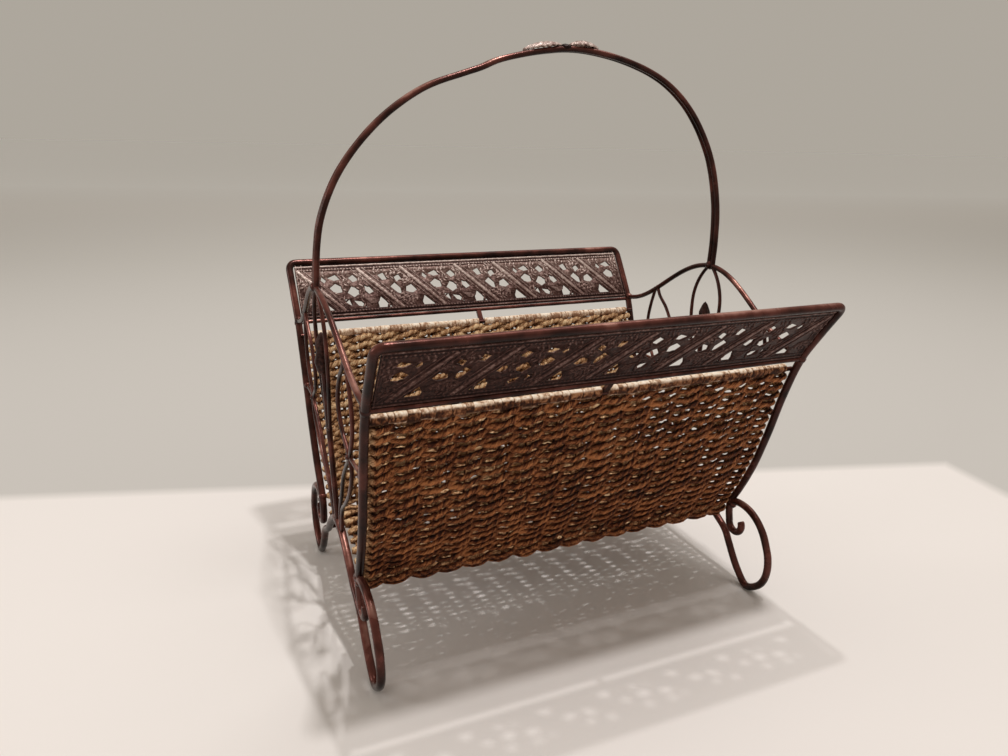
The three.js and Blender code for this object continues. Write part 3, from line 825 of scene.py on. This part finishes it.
end_lines = [
    # Inset and width of the upright lines at each end
    (0.0012, 0.0022), (0.004, 0.0016), (0.0066, 0.002),
]


def share_at(shares, place):
    """The share at a place from 0 to 1 along evenly spaced shares."""
    place *= len(shares) - 1
    low = min(int(place), len(shares) - 2)
    return shares[low] + (shares[low + 1] - shares[low]) * (place - low)


def on_band(a, b):
    """Place from the middle of a blade, from shares of the blades' pitch and of the open height."""
    return Vector((a * blade_pitch, b * open_height))


def blade_middle(i):
    """The blades stand in pairs, a little closer to each other than to the next pair."""
    shift = pair_shift_share if i % 2 == 0 else -pair_shift_share
    return (i + 0.5 + shift) * blade_pitch - band_half_length


def on_motif(i, place):
    """Place on the flat band of a place about blade i. Every second blade is turned half round."""
    way = 1 if i % 2 == 0 else -1
    return Vector((blade_middle(i), band_height / 2)) + place * way


def relief_with_painted_light(place):
    """How bright a place of the flat band is: bright where proud, partly wear and partly painted highlight,
    and dark where sunk, as painted shade. Its outer face, at +Z, is darker, as painted shade.
    """
    sunk = -0.4
    proud = clamped((abs(place.z) - plate / 2) / proud_height, sunk)
    if abs(proud) < 0.01:
        proud = 0.45 if border < place.y < band_height - border else sunk
    # Painted light: both faces grow paler towards the top of the band.
    top_light_tone = place.y / band_height - 0.5
    # The outer face is kept dark: painted shade.
    if place.z > 0:
        return 0.05 + 0.42 * proud + 0.1 * top_light_tone
    return 0.28 + 0.5 * proud + 0.4 * top_light_tone


def bent_to_flare(mesh, side):
    """Bends a band that is drawn flat, and writes its relief with its painted light and shade."""
    write_value(mesh, "relief", relief_with_painted_light)
    for vert in mesh.vertices:
        point, outward = line_frame(profile, profile_run, band_low + vert.co.y)
        place = point + outward * vert.co.z * (1 + 0.3 * noise.noise(vert.co * 150))
        vert.co = Vector((-side * vert.co.x, side * place.y, place.z))
    if side > 0:
        mesh.flip_normals()
    return mesh


def band_openings():
    """The outlines of all openings of the flat band."""
    outlines = []
    for i in range(-2, blade_count, 2):
        for shares in hole_shares:
            outline = [on_motif(i, on_band(*share)) for share in shares]
            if max(abs(corner.x) for corner in outline) < band_half_length - border:
                outlines.append(outline)
    return outlines


def is_inside(outline, place):
    """Whether a line straight up from the place crosses the outline an odd number of times."""
    inside = False
    for a, b in zip(outline, outline[1:] + outline[:1]):
        if (a.x > place.x) != (b.x > place.x):
            if place.y < a.y + (b.y - a.y) * (place.x - a.x) / (b.x - a.x):
                inside = not inside
    return inside


def band_plate(outlines):
    """The thin ground of the band, with its openings, cut into rows so that it can bend."""
    whole = bmesh.new()
    reach = band_half_length
    rim = [(-reach, 0), (reach, 0), (reach, band_height), (-reach, band_height)]
    edges = []
    for loop in (rim, *outlines):
        verts = [whole.verts.new((x, y, 0)) for x, y in loop]
        edges += [whole.edges.new((verts[i - 1], verts[i])) for i in range(len(verts))]
    bmesh.ops.triangle_fill(whole, edges=edges, use_beauty=True)
    rows = 12
    levels = [band_height * row / rows for row in range(1, rows)]
    inner = border + border_step
    for height in (*levels, border, inner, band_height - inner, band_height - border):
        cut = whole.verts[:] + whole.edges[:] + whole.faces[:]
        bmesh.ops.bisect_plane(whole, geom=cut, plane_co=(0, height, 0), plane_no=(0, 1, 0), dist=1e-6)
    bmesh.ops.recalc_face_normals(whole, faces=whole.faces)
    bmesh.ops.solidify(whole, geom=whole.faces, thickness=plate)
    bmesh.ops.translate(whole, verts=whole.verts, vec=(0, 0, plate / 2))
    return to_mesh(whole)


def ridges(strokes, flatness, fineness=2):
    """Cast ridges along flat lines, each swelling and thinning out by its own shares, as one mesh."""
    lines, radii = [], []
    for points, width, taper in strokes:
        line = catmull([(x, y, 0) for x, y in points], 4)
        lines.append(line)
        radii.append([width / lobe * share_at(taper, i / (len(line) - 1)) for i in range(len(line))])
    mesh = tube(lines, lobe, fineness, radii)
    for vert in mesh.vertices:
        vert.co.x = clamped(vert.co.x, -band_half_length, band_half_length)
        vert.co.z *= flatness
    return mesh


def leaf_strokes(start, tip, width):
    """A bowed midrib with short lobes on both sides that lean towards the tip."""
    run = tip - start
    along = run.normalized()
    across = Vector((-along.y, along.x))

    def rib(place):
        return start + run * place + across * run.length * 0.12 * math.sin(math.pi * place)

    strokes = [([rib(0), rib(0.5), rib(1)], lobe, (0.6, 0.8, 0.7, 0.4))]
    for place, spread in ((0.1, 0.8), (0.42, 1), (0.74, 0.7)):
        for way in (1, -1):
            reach = across * way * spread * width / 2 + along * spread * width * 0.3
            strokes.append(([rib(place), rib(place) + reach], lobe, (0.7, 1.1, 1, 0.4)))
    return strokes


def wing_strokes(root, angle, length, feathers, bow):
    """Feathers that spring close together, spread side by side and bow the same way."""
    way = Vector((math.cos(angle), math.sin(angle)))
    across = Vector((-way.y, way.x))
    strokes = []
    for i in range(feathers):
        reach = length * (1 - 0.12 * i)
        shift = ((feathers - 1) / 2 - i) * feather * 1.1
        line = [root + way * reach * t + across * (shift * (0.4 + 0.6 * t) + bow * math.sin(math.pi * t))
                for t in (0, 0.4, 0.75, 1)]
        strokes.append((line, feather, (0.7, 1, 1, 0.6)))
    return strokes


def ring_stroke(centre):
    turns = [math.tau * k / 7 for k in range(8)]
    line = [centre + Vector((math.cos(turn), math.sin(turn))) * ring_radius for turn in turns]
    return line, feather * 0.7, (1, 1)


def blade_stroke(shift, width):
    """One straight ridge of a leaning blade, from border to border."""
    lean = blade_lean_share * 2 * blade_reach_share
    foot, middle, head = ((shift + way * lean, way * blade_reach_share) for way in (-1, 0, 1))
    return [on_band(*foot), on_band(*middle), on_band(*head)], width, (0.9, 1, 0.9)


def leaves():
    """The lobed leaves round a blade, about its middle."""
    strokes = []
    for start, tip, width in leaf_shares:
        strokes += leaf_strokes(on_band(*start), on_band(*tip), width * blade_pitch)
    return strokes


def wings():
    """The bundles of feathers and the rings beside a blade, about its middle."""
    strokes = []
    for root, *layout in wing_bundles:
        strokes += wing_strokes(on_band(*root), *layout)
    return strokes + [ring_stroke(on_band(*place)) for place in ring_shares]


def band_borders():
    """A plain and a notched line along both edges, and three upright lines at each end."""
    meshes = []
    reach = band_half_length
    for inset, width, notch_share in edge_lines:
        for y in (inset, band_height - inset):
            line = [Vector((reach * (k / 240 - 1), y, 0)) for k in range(481)]
            radii = [1.0 if k % 4 < 2 else notch_share for k in range(481)]
            meshes.append(tube([line], width, 2, [radii], unevenness=0.06))
    for end in (-1, 1):
        for inset, width in end_lines:
            line = [Vector((end * (reach - inset), band_height * k / 20, 0)) for k in range(21)]
            meshes.append(tube([line], width, 2, unevenness=0.08))
    return meshes


def placed_strokes(motif, outlines):
    """One motif's strokes round every blade of the band, without those that would cross an opening."""
    strokes = []
    for i in range(blade_count):
        for points, *sizes in motif:
            line = [on_motif(i, point) for point in points]
            if not any(is_inside(outline, point) for outline in outlines for point in line):
                strokes.append((line, *sizes))
    return strokes


def make_band(side_name, side):
    outlines = band_openings()
    blades = [blade_stroke(0, blade_width)]
    blade_edges = [blade_stroke(shift, blade_edge_width) for shift in (-blade_edge_share, blade_edge_share)]
    flat = [
        band_plate(outlines), *band_borders(),
        ridges(placed_strokes(blades, outlines), 0.6, 4),
        ridges(placed_strokes(blade_edges, outlines), 1.4),
        ridges(placed_strokes(leaves(), outlines), 0.95),
        ridges(placed_strokes(wings(), outlines), 1.3),
    ]
    meshes = [bent_to_flare(mesh, side) for mesh in flat]
    piece(f"{side_name}_band_cast", meshes, cast, "cast_trim", f"{side_name}_band")


# Woven sling: twined rows round upright stakes, down the front, over the arch and up the rear

row_pitch = 0.0093
row_jitter = 0.0004
rear_snugness = 1.09
strand = 0.0056
pressed_share = 0.62
stake = 0.0037
stake_bite = 0.0004
twine_depth = (stake + strand * pressed_share) / 2 - stake_bite
twine_height = 0.0022
ply_length = 0.012
stake_count = 16
mat_half_length = mat_high.x
stake_reach = mat_half_length - twine_depth - strand * pressed_share / 2
stake_pitch = 2 * stake_reach / (stake_count - 1)
mat_thickness = 0.007
mat_over_arch = (bar_rod + mat_thickness) / 2 + weld_gap
mat_top = mat_high.z - 0.001
mat_inset = mat_thickness / 2
fold_radius = 0.009
fold_half_depth = 0.0665
fold_sag = 0.0015
bottom_bar_share = 0.58
post_gap = 0.0008
hem_reach = 0.002
mat_step = 0.001


def mat_half_line():
    """The rear half of the sling, from its top edge down to the low arch."""
    points = []
    steps = 9
    for i in range(steps + 1):
        z = mat_top + (foot_height + fold_radius - mat_top) * i / steps
        points.append(Vector((0, half_depth_at(z) - mat_inset, z)))
    bottom_bar = bottom_bar_share * arch_half_width
    floor = arch_height_at(bottom_bar) + mat_over_arch
    points += [
        Vector((0, fold_half_depth + 0.75 * fold_radius, floor + 0.6 * fold_radius)),
        Vector((0, fold_half_depth, floor - fold_sag)),
        Vector((0, (fold_half_depth + bottom_bar) / 2, floor - fold_sag)),
        Vector((0, bottom_bar, floor)),
    ]
    for share in arch_shares[1:]:
        y = share * arch_half_width
        points.append(Vector((0, y, arch_height_at(y) + mat_over_arch)))
    return points


def mat_line():
    half = mat_half_line()
    front = [Vector((0, -p.y, p.z)) for p in half]
    middle = Vector((0, 0, arch_top + mat_over_arch))
    return spaced(catmull([*front, middle, *half[::-1]], 12), mat_step)


mat = mat_line()
mat_run = distances(mat)
mat_length = mat_run[-1]


def on_sling(x, distance, depth):
    """The place on the bent sling of a point of the flat one. Its rows reach out to the leaning posts."""
    point, outward = line_frame(mat, mat_run, distance)
    place = point + outward * depth
    reach = floor_half_length + end_lean * place.z - main_rod / 2 - post_gap
    place.x = x * reach / mat_half_length
    return place


def stray(x, distance):
    """How far hand work strays from straight rows there."""
    return 0.0016 * noise.noise(Vector((x * 17, distance * 17, 5)))


def row_line(distance, step):
    """One twined row as a closed line: over and under the stakes to one edge, round it and back.

    It is drawn flat, X along it, Y down the sling and Z out of the basket.
    """
    drift = chance.uniform(0, 100)
    line = []
    count = round(2 * stake_reach / step)
    for way in (1, -1):
        phase = 0 if way > 0 else math.pi
        for k in range(count + 1):
            x = (2 * k / count - 1) * stake_reach * way
            turn = math.pi * (x + stake_reach) / stake_pitch + phase
            own_stray = 0.0013 * noise.noise(Vector((x * 90, drift, way)))
            slack = 0.0006 * noise.noise(Vector((x * 60, drift, 3)))
            y = distance - twine_height * math.sin(turn) + own_stray
            line.append(Vector((x, y, twine_depth * math.cos(turn) + slack)))
        last = math.pi * 2 * stake_reach / stake_pitch if way > 0 else math.pi
        for k in range(1, 6):
            angle = math.pi * k / 6
            x = way * (stake_reach + twine_depth * math.sin(angle))
            line.append(Vector((x, distance, twine_depth * math.cos(last) * math.cos(angle))))
    return line


def row_end(x):
    """1 where a row turns round the outer stake, and 0 before."""
    return clamped((abs(x) - stake_reach - 0.0015) / 0.002)


def twined_row(line, fineness, thickness):
    """One row of two-ply grass, pressed flat and bent onto the sling."""
    outer_shade_depth = 0.0024
    seed = chance.uniform(0, 50)
    tone = chance.uniform(-0.06, 0.06)
    mesh = tube([line], thickness, fineness, closed=True)
    ring_size = len(mesh.vertices) // len(line)
    shade = mesh.attributes.new("shade", "FLOAT", "POINT")
    stain = mesh.attributes.new("stain", "FLOAT", "POINT")
    grain = mesh.attributes.new("grain", "FLOAT_VECTOR", "POINT")
    for i, vert in enumerate(mesh.vertices):
        centre = line[i // ring_size]
        out = vert.co - centre
        turn = math.atan2(out.z, out.y) - math.pi * 2 * centre.x / ply_length
        ply = math.cos(2 * turn)
        swell = 1 + 0.45 * noise.noise(Vector((centre.x * 75, seed, centre.z * 40)))
        out *= swell * (0.97 + 0.13 * ply + 0.28 * noise.noise(vert.co * 600))
        # Painted highlight on the proud middle of each strand and its ply ridges, and painted shade towards
        # the creases between rows.
        crease_shade_and_highlight = 0.85 * abs(out.z) / strand + 0.08 * ply - 0.275
        out.z *= pressed_share
        flat = centre + out
        at_end = row_end(flat.x)
        drift = 0.15 * noise.noise(Vector((flat.x * 28, seed, 0)))
        shade.data[i].value = tone + crease_shade_and_highlight + drift + 0.2 * at_end
        # Painted shade on the outside of the sling, less of it where rows turn round the outer stakes.
        stain.data[i].value = clamped(0.5 + flat.z / outer_shade_depth) * (1 - 0.7 * at_end)
        grain.data[i].vector = (centre.x * 140 + seed, math.cos(turn) * 3.5, math.sin(turn) * 3.5)
        vert.co = on_sling(flat.x, flat.y + stray(flat.x, flat.y), flat.z)
    return mesh


def woven_rows(first, last, snugness, step, fineness):
    """The rows between two distances along the sling. Snugger rows lie closer and are thicker."""
    count = round((last - first) / row_pitch * snugness)
    meshes = []
    for row in range(count):
        jitter = chance.uniform(-row_jitter, row_jitter)
        distance = first + (last - first) * (row + 0.5) / count + jitter
        meshes.append(twined_row(row_line(distance, step), fineness, strand * snugness))
    return meshes


def make_sling():
    corner = profile_distance(mat_top) - profile_distance(foot_height)
    fine, coarse = (0.001, 2), (0.003, 1)
    panels = [
        ("front_upper", -hem_reach, corner / 2, 1, *fine),
        ("front_lower", corner / 2, corner, 1, *fine),
        ("underside", corner, mat_length - corner, 1, *coarse),
        ("rear_lower", mat_length - corner, mat_length - corner / 2, rear_snugness, *fine),
        ("rear_upper", mat_length - corner / 2, mat_length + hem_reach, rear_snugness, *fine),
    ]
    for name, *layout in panels:
        piece(f"{name}_twining", woven_rows(*layout), weave_grass, "seagrass_weave", "woven_body")
    stakes = []
    for k in range(stake_count):
        x = k * stake_pitch - stake_reach
        stakes.append([on_sling(x + stray(run, x), run, 0) for run in mat_run[::3]])
    mesh = tube(stakes, stake, 1, unevenness=0.15)
    write_value(mesh, "shade", lambda co: 0.1 * noise.noise(co * 40))
    # The stakes take tones half way between the painted light inside and the painted shade outside.
    write_value(mesh, "stain", lambda co: 0.55)
    write_grain(mesh, lambda co: (co.x * 700, co.y * 70, co.z * 70))
    piece("stakes", [mesh], weave_grass, "seagrass_weave", "woven_body")


# Wrapped upper edges: leaves of grass wound round the top bar and the first row

wraps = {
    # Radius, lift above the bar and drop below it
    "front": (0.0035, 0.0022, 0.0028), "rear": (0.0034, 0.0004, 0.0006),
}
bare_bar = 0.004
narrowest_winding = 0.004
widest_winding = 0.014
rim_share = 0.9


def winding(x, width, radius, drop, lean):
    """One turn of the wrap: a rounded hood over the bar that closes in round the row below."""
    whole = bmesh.new()
    ring = bmesh.ops.create_circle(whole, segments=16, radius=radius)["verts"]
    for vert in ring:
        down = min(0, vert.co.y)
        narrow = 1 - 0.3 * (down / radius) ** 2
        vert.co = Vector((0, vert.co.x * narrow, vert.co.y + down / radius * drop))
    loops = [ring]
    edges = whole.edges[:]
    for share in (0.08, 0.84, 0.08):
        made = bmesh.ops.extrude_edge_only(whole, edges=edges)["geom"]
        verts = [item for item in made if isinstance(item, bmesh.types.BMVert)]
        edges = [item for item in made if isinstance(item, bmesh.types.BMEdge)]
        bmesh.ops.translate(whole, verts=verts, vec=(width * share, 0, 0))
        loops.append(verts)
    for loop, size in zip(loops, (rim_share, 1, 1, rim_share)):
        for vert in loop:
            vert.co.y *= size
            vert.co.z *= size
            vert.co.x += x + lean * vert.co.z
    bmesh.ops.holes_fill(whole, edges=whole.edges, sides=0)
    bmesh.ops.recalc_face_normals(whole, faces=whole.faces)
    return to_mesh(whole)


def wrap_place(side, lift):
    """Where a wrap's windings stand, leaning as the posts do there."""
    along = profile[profile_index(top_bar_height)] - profile[profile_index(top_bar_height - 0.02)]
    along.normalize()
    bar = Vector((0, side * top_bar_half_depth, top_bar_height))
    centre = bar + Vector((0, side * along.y, along.z)) * lift
    return Matrix.Translation(centre) @ Matrix.Rotation(-side * math.atan2(along.y, along.z), 4, "X")


def make_roll(side_name, side, end_name, end):
    """The front roll is wound fatter and stands higher than the rear one."""
    node = f"{side_name}_{end_name}_roll"
    low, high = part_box(node)
    wrap_radius, lift, wrap_drop = wraps[side_name]
    place = wrap_place(side, lift)
    x = low.x
    last = high.x - bare_bar if end > 0 else high.x
    meshes = []
    while x < last - 0.001:
        width = min(chance.uniform(narrowest_winding, widest_winding), last - x)
        radius = wrap_radius * chance.uniform(0.95, 1.06)
        drop = wrap_drop * chance.uniform(0.8, 1.3) + chance.choice((0, 0, 0, wrap_drop))
        mesh = winding(x, width * 0.99, radius, drop, chance.uniform(-0.15, 0.15))
        tone = chance.uniform(-0.02, 0.12) + chance.choice((0, 0, 0, -0.15))
        seed = chance.uniform(0, 50)
        outer_shade_edge = chance.uniform(0.5, 0.78)
        middle = x + width / 2

        # Painted light on the top of each winding and painted shade beneath it, with painted shade in the
        # nicks at both ends.
        def shade(co):
            nick_shade = 0.3 if abs(co.x - middle) > width * 0.45 else 0
            return tone + 0.15 * clamped(co.z / radius, -1) - nick_shade

        write_value(mesh, "shade", shade)
        # Painted shade on the outward face of the wrap.
        write_value(mesh, "stain", lambda co: clamped(0.5 + (side * co.y / radius - outer_shade_edge) * 5))
        write_grain(mesh, lambda co: (co.x * 330, co.y / radius * 0.8 + seed, co.z / radius * 0.8))
        mesh.transform(place)
        meshes.append(mesh)
        x += width
    piece(f"{node}_wrap", meshes, wrap_grass, "seagrass_wrap", node)


# Floor, light and camera

floor_half_size = 60
tone_edges = [
    # Direction and distance of two straight lines, past which the floor is darker
    ((0.284, 0.959, 0), 0.214), ((0.986, -0.168, 0), 0.646),
]
lamps = [
    # Place, power in watts and size
    ("rear_lamp", (0.21, 0.38, 3.26), 19, 0.09),
    ("front_lamp", (0.28, -0.47, 3.26), 36, 0.2),
    ("right_lamp", (1.2, 0.3, 2.6), 8, 1.2),
    ("left_lamp", (-2.2, 0.6, 0.9), 9, 0.8),
]


def make_floor():
    """A pale floor that is darker past two straight lines and grows paler again with distance, as painted
    light that makes up for the lamps' falloff far away.
    """
    finish = Finish("pale_floor")
    where = place_on_object(finish)
    back, right = (reach_along(finish, where, way) - distance for way, distance in tone_edges)
    beyond = back.reckon("MAXIMUM", right) * (1 / 6)
    # Painted light: past the lines the tone rises with distance, where the lamps give less.
    tone = shades(finish, beyond + 0.01, (0.0095, (0.84, 0.79, 0.765)), (0.0105, (0.57, 0.545, 0.52)),
                  (0.33, (0.7, 0.68, 0.65)), (0.66, (0.87, 0.85, 0.83)), (1, (1, 1, 1)))
    finish.surface(Base_Color=tone, Roughness=0.7, Specular_IOR_Level=0.2)
    whole = bmesh.new()
    bmesh.ops.create_grid(whole, x_segments=1, y_segments=1, size=floor_half_size)
    mesh = to_mesh(whole)
    mesh.materials.append(finish.material)
    floor = bpy.data.objects.new("floor", mesh)
    bpy.context.scene.collection.objects.link(floor)


def make_lamp(name, place, power, size):
    """A round lamp that shines at the basket."""
    data = bpy.data.lights.new(name, "AREA")
    data.shape = "DISK"
    data.size = size
    data.energy = power
    data.color = (1, 0.985, 0.967)
    made = bpy.data.objects.new(name, data)
    made.location = place
    made.rotation_euler = (-Vector(place)).to_track_quat("-Z", "Y").to_euler()
    bpy.context.scene.collection.objects.link(made)


def make_lights():
    world = bpy.data.worlds.new("surroundings")
    world.use_nodes = True
    world.node_tree.nodes["Background"].inputs["Color"].default_value = (0.42, 0.385, 0.335, 1)
    bpy.context.scene.world = world
    bpy.context.scene.view_settings.view_transform = "Standard"
    for lamp in lamps:
        make_lamp(*lamp)


def make_camera():
    """The photo's camera, with its focal length and shifts in pixels of the photo."""
    photo_width = 1008
    focal_length = 757.66
    shift_right = -1.104
    shift_up = -11.114
    place = (-0.30218, -0.6167, 0.41868)
    right = Vector((0.91598, -0.40077, 0.01895)).normalized()
    forward = Vector((0.38918, 0.87601, -0.28486)).normalized()
    up = right.cross(forward).normalized()
    data = bpy.data.cameras.new("camera")
    data.sensor_fit = "HORIZONTAL"
    data.sensor_width = 36
    data.lens = focal_length / photo_width * data.sensor_width
    data.shift_x = shift_right / photo_width
    data.shift_y = shift_up / photo_width
    data.clip_start = 0.01
    camera = bpy.data.objects.new("camera", data)
    turn = Matrix((right, up, -forward)).transposed().to_4x4()
    camera.matrix_world = Matrix.Translation(place) @ turn
    bpy.context.scene.collection.objects.link(camera)
    bpy.context.scene.camera = camera


make_camera()
for side_name, side in sides:
    make_hoop(side_name, side)
    make_band(side_name, side)
    for end_name, end in ends:
        make_roll(side_name, side, end_name, end)
for end_name, end in ends:
    make_foot_scroll(end_name, end)
    make_ogee_rail(end_name, end)
    make_stem(end_name, end)
    make_bud(end_name)
    for side_name, side in sides:
        make_heart_wire(end_name, end, side_name, side)
        make_side_wires(end_name, end, side_name, side)
        make_link(end_name, end, side_name, side)
make_handle()
make_long_rods()
make_sling()
for node in ("front_tab", "rear_tab"):
    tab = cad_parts[node]
    tab.data.materials.clear()
    tab.data.materials.append(iron)
make_floor()
make_lights()
